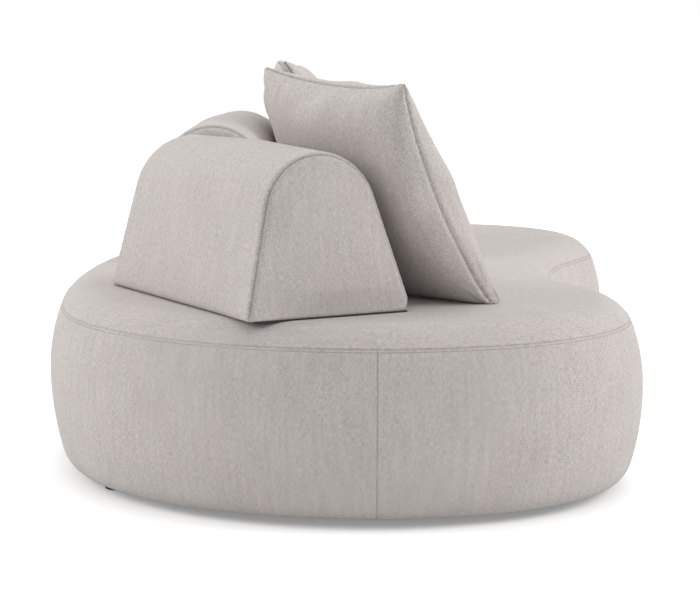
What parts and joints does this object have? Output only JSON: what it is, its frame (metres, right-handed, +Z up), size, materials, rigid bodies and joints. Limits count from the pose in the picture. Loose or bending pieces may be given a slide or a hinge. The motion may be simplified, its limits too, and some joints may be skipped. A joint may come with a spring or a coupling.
{
  "type": "sofa",
  "caption": "Kidney-shaped upholstered island sofa on low feet, with loose round-topped backrest blocks and leaning square pillows.",
  "frame": {"origin": "on the floor, under the middle of the base's outline", "axes": "+X along the sofa's length, to the right as a sitter's front is seen; -Y to the front, where the outline has its notch; +Z up"},
  "size_m": [2.2279, 1.4516, 0.9252],
  "materials": {
    "feet": "black moulded plastic, fine matt grain",
    "screws": "zinc-plated steel",
    "staples": "galvanised wire",
    "dust_cloth": "black spunbond cloth",
    "plywood": "unfinished birch plywood",
    "timber": "planed softwood",
    "webbing": "elastic upholstery webbing",
    "liner": "non-woven liner",
    "foam": "cut polyurethane foam",
    "wadding": "polyester wadding",
    "top_fabric": "heather greige upholstery cloth in a fine herringbone weave",
    "side_fabric": "heather greige upholstery cloth in a fine herringbone weave",
    "backrest_fabric": "heather greige upholstery cloth in a fine herringbone weave",
    "pillow_fabric": "heather greige upholstery cloth in a fine herringbone weave",
    "pillow_filling": "fibre filling in a cotton bag",
    "non_slip": "dotted non-slip cloth",
    "weight": "black primer",
    "zip_tape": "woven zip tape and coil",
    "zip_slider": "satin lacquer in the cloth's colour"
  },
  "bodies": {
    "root": {"base_board": "plywood", "board_screws": "screws", "cross_rails": "timber", "dust_cover": "dust_cloth", "dust_cover_staples": "staples", "feet": "feet", "foot_screws": "screws", "frame_posts": "timber", "long_rails": "timber", "rim_wall": "plywood", "ring_screws": "screws", "seat_foam": "foam", "seat_wadding": "wadding", "side_cover_1": "side_fabric", "side_cover_2": "side_fabric", "side_cover_3": "side_fabric", "side_cover_4": "side_fabric", "side_cover_5": "side_fabric", "side_foam_1": "foam", "side_foam_2": "foam", "side_foam_3": "foam", "side_foam_4": "foam", "side_foam_5": "foam", "side_wadding": "wadding", "top_cover": "top_fabric", "top_ring": "plywood", "webbing_crosswise": "webbing", "webbing_lengthwise": "webbing", "webbing_liner": "liner"},
    "left_backrest": {"left_backrest_base": "non_slip", "left_backrest_board": "plywood", "left_backrest_cover": "backrest_fabric", "left_backrest_foam": "foam", "left_backrest_left_end": "backrest_fabric", "left_backrest_right_end": "backrest_fabric", "left_backrest_screws": "screws", "left_backrest_wadding": "wadding", "left_backrest_weight": "weight"},
    "left_pillow": {"left_pillow_back": "pillow_fabric", "left_pillow_front": "pillow_fabric", "left_pillow_pad": "pillow_filling", "left_pillow_zip": "zip_tape"},
    "left_zip_slider": {"left_pillow_slider": "zip_slider"},
    "right_backrest": {"right_backrest_base": "non_slip", "right_backrest_board": "plywood", "right_backrest_cover": "backrest_fabric", "right_backrest_foam": "foam", "right_backrest_left_end": "backrest_fabric", "right_backrest_right_end": "backrest_fabric", "right_backrest_screws": "screws", "right_backrest_wadding": "wadding", "right_backrest_weight": "weight"},
    "right_pillow": {"right_pillow_back": "pillow_fabric", "right_pillow_front": "pillow_fabric", "right_pillow_pad": "pillow_filling", "right_pillow_zip": "zip_tape"},
    "right_zip_slider": {"right_pillow_slider": "zip_slider"}
  },
  "joints": [
    {"name": "left_backrest_lift", "type": "slide", "parent": "root", "child": "left_backrest", "axis": [0, 0, 1], "range_m": [0, 0.45]},
    {"name": "left_pillow_lift", "type": "slide", "parent": "left_backrest", "child": "left_pillow", "axis": [0, 0, 1], "range_m": [0, 0.35]},
    {"name": "right_backrest_lift", "type": "slide", "parent": "root", "child": "right_backrest", "axis": [0, 0, 1], "range_m": [0, 0.45]},
    {"name": "right_pillow_lift", "type": "slide", "parent": "right_backrest", "child": "right_pillow", "axis": [0, 0, 1], "range_m": [0, 0.35]},
    {"name": "left_zip", "type": "slide", "parent": "left_pillow", "child": "left_zip_slider", "axis": [0.7194, 0.6937, 0.0357], "range_m": [0, 0.312]},
    {"name": "right_zip", "type": "slide", "parent": "right_pillow", "child": "right_zip_slider", "axis": [-0.9756, -0.2175, 0.0309], "range_m": [0, 0.312]}
  ]
}
